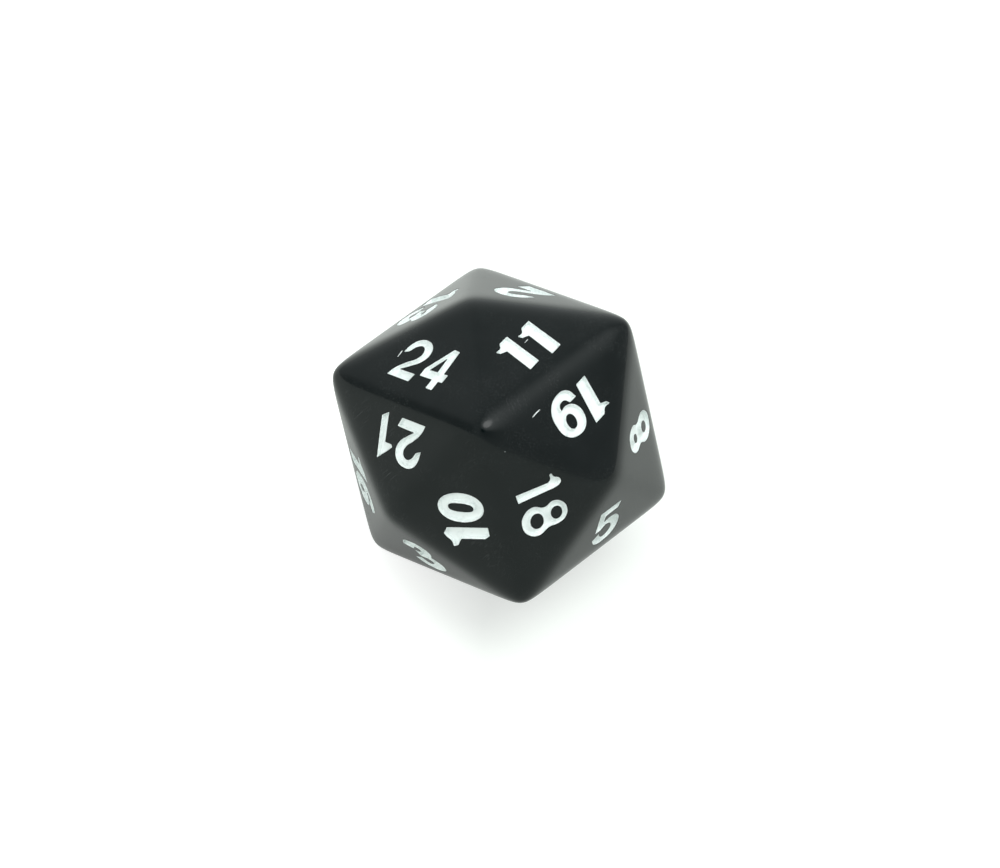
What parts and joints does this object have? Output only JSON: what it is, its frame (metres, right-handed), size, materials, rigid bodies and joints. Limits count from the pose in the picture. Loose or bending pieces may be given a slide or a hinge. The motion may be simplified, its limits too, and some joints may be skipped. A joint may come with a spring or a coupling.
{
  "type": "polyhedral die",
  "caption": "Gaming die with rounded edges, low four-sided pyramids on a cube, and an engraved, paint-filled numeral on every face.",
  "frame": {"origin": "bottom centre of the bounding box: on the face that the die rests on, under the die's centre", "axes": "+Z up out of the top face, which shows 11; +Y up that numeral; +X to its right"},
  "size_m": [0.0218, 0.02, 0.02],
  "materials": {
    "black_resin": "glossy tumbled resin with faint scratches",
    "white_paint": "satin paint laid in the engraving"
  },
  "bodies": {
    "root": {"die_body": "black_resin", "numeral_1": "white_paint", "numeral_10_tens": "white_paint", "numeral_10_units": "white_paint", "numeral_11_tens": "white_paint", "numeral_11_units": "white_paint", "numeral_12_tens": "white_paint", "numeral_12_units": "white_paint", "numeral_13_tens": "white_paint", "numeral_13_units": "white_paint", "numeral_14_tens": "white_paint", "numeral_14_units": "white_paint", "numeral_15_tens": "white_paint", "numeral_15_units": "white_paint", "numeral_16_tens": "white_paint", "numeral_16_units": "white_paint", "numeral_17_tens": "white_paint", "numeral_17_units": "white_paint", "numeral_18_tens": "white_paint", "numeral_18_units": "white_paint", "numeral_19_tens": "white_paint", "numeral_19_units": "white_paint", "numeral_2": "white_paint", "numeral_20_tens": "white_paint", "numeral_20_units": "white_paint", "numeral_21_tens": "white_paint", "numeral_21_units": "white_paint", "numeral_22_tens": "white_paint", "numeral_22_units": "white_paint", "numeral_23_tens": "white_paint", "numeral_23_units": "white_paint", "numeral_24_tens": "white_paint", "numeral_24_units": "white_paint", "numeral_3": "white_paint", "numeral_4": "white_paint", "numeral_5": "white_paint", "numeral_6": "white_paint", "numeral_6_dot": "white_paint", "numeral_7": "white_paint", "numeral_8": "white_paint", "numeral_9": "white_paint", "numeral_9_dot": "white_paint"}
  },
  "joints": []
}
